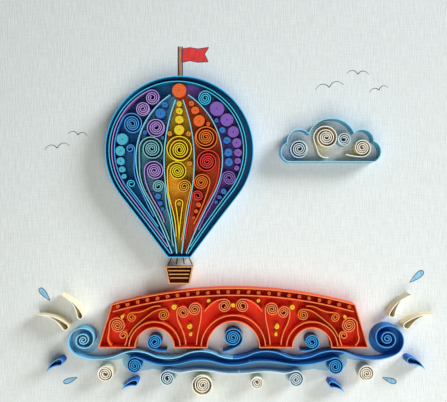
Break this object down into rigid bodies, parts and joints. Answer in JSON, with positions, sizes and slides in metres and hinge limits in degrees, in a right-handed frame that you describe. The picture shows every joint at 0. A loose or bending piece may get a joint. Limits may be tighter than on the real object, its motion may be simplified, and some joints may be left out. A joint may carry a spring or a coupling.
{
  "type": "quilled paper art",
  "caption": "Quilled paper picture on a square linen-finish board: a hot-air balloon of coloured curls over an arched bridge, curling water and a cloud.",
  "frame": {"origin": "middle of the board's underside", "axes": "+X to the picture's right, +Y to the picture's top, +Z out of the board's face, with the board lying flat on its back"},
  "size_m": [0.305, 0.305, 0.0117],
  "materials": {
    "linen_board": "matt, linen grain",
    "navy_paper": "matt",
    "cyan_paper": "matt",
    "sky_paper": "matt",
    "teal_paper": "matt",
    "blue_paper": "matt",
    "azure_paper": "matt",
    "lilac_paper": "matt",
    "violet_paper": "matt",
    "yellow_paper": "matt",
    "amber_paper": "matt",
    "orange_paper": "matt",
    "red_paper": "matt",
    "coral_paper": "matt",
    "tan_paper": "matt",
    "white_paper": "matt",
    "pale_blue_paper": "matt",
    "dark_teal_sheet": "matt",
    "teal_sheet": "matt",
    "amber_sheet": "matt",
    "brown_red_sheet": "matt",
    "plum_sheet": "matt",
    "brown_sheet": "matt",
    "red_sheet": "matt",
    "grey_sheet": "matt",
    "blue_sheet": "matt",
    "pale_blue_sheet": "matt"
  },
  "bodies": {
    "root": {"linen_board": "linen_board", "envelope_outline": "navy_paper", "envelope_inner_line": "cyan_paper", "envelope_seams": "sky_paper", "crown_coil": "coral_paper", "band_paper": "dark_teal_sheet", "left_panel_paper": "dark_teal_sheet", "second_panel_paper": "teal_sheet", "middle_panel_paper": "amber_sheet", "fourth_panel_paper": "brown_red_sheet", "right_panel_paper": "plum_sheet", "left_panel_purple_scroll": "lilac_paper", "left_panel_blue_scrolls": "blue_paper", "left_panel_cyan_scroll": "cyan_paper", "left_panel_cyan_coils": "cyan_paper", "left_panel_lilac_coil": "lilac_paper", "second_panel_teal_scrolls": "teal_paper", "second_panel_lilac_scroll": "lilac_paper", "second_panel_lilac_coil": "lilac_paper", "second_panel_blue_coils": "blue_paper", "middle_panel_yellow_loose_coil": "yellow_paper", "middle_panel_yellow_coils": "yellow_paper", "middle_panel_amber_coils": "amber_paper", "middle_panel_yellow_scroll": "yellow_paper", "middle_panel_amber_scroll": "amber_paper", "middle_panel_yellow_teardrop": "yellow_paper", "fourth_panel_orange_loose_coil": "orange_paper", "fourth_panel_orange_coils": "orange_paper", "fourth_panel_red_scrolls": "red_paper", "fourth_panel_orange_scroll": "orange_paper", "right_panel_cyan_scroll": "cyan_paper", "right_panel_purple_coils": "lilac_paper", "right_panel_blue_coils": "blue_paper", "right_panel_violet_scroll": "violet_paper", "basket_paper": "brown_sheet", "basket_outline": "tan_paper", "basket_weave": "tan_paper", "bridge_paper": "red_sheet", "bridge_outline": "coral_paper", "bridge_inner_lines": "coral_paper", "bridge_pier_scrolls": "coral_paper", "bridge_end_scrolls": "coral_paper", "bridge_crown_scrolls": "coral_paper", "bridge_side_scrolls": "orange_paper", "bridge_yellow_coils": "yellow_paper", "bridge_parapet_coils": "orange_paper", "water_sky_wave": "sky_paper", "water_blue_wave": "blue_paper", "water_azure_waves": "azure_paper", "water_pale_waves": "pale_blue_paper", "water_arch_curls": "azure_paper", "water_white_coils": "white_paper", "water_blue_drops": "blue_paper", "water_white_drops": "white_paper", "water_deep_paper": "blue_sheet", "water_shallow_paper": "pale_blue_sheet", "cloud_paper": "grey_sheet", "cloud_outline": "sky_paper", "cloud_white_scrolls": "white_paper", "cloud_blue_coils": "pale_blue_paper"}
  },
  "joints": []
}
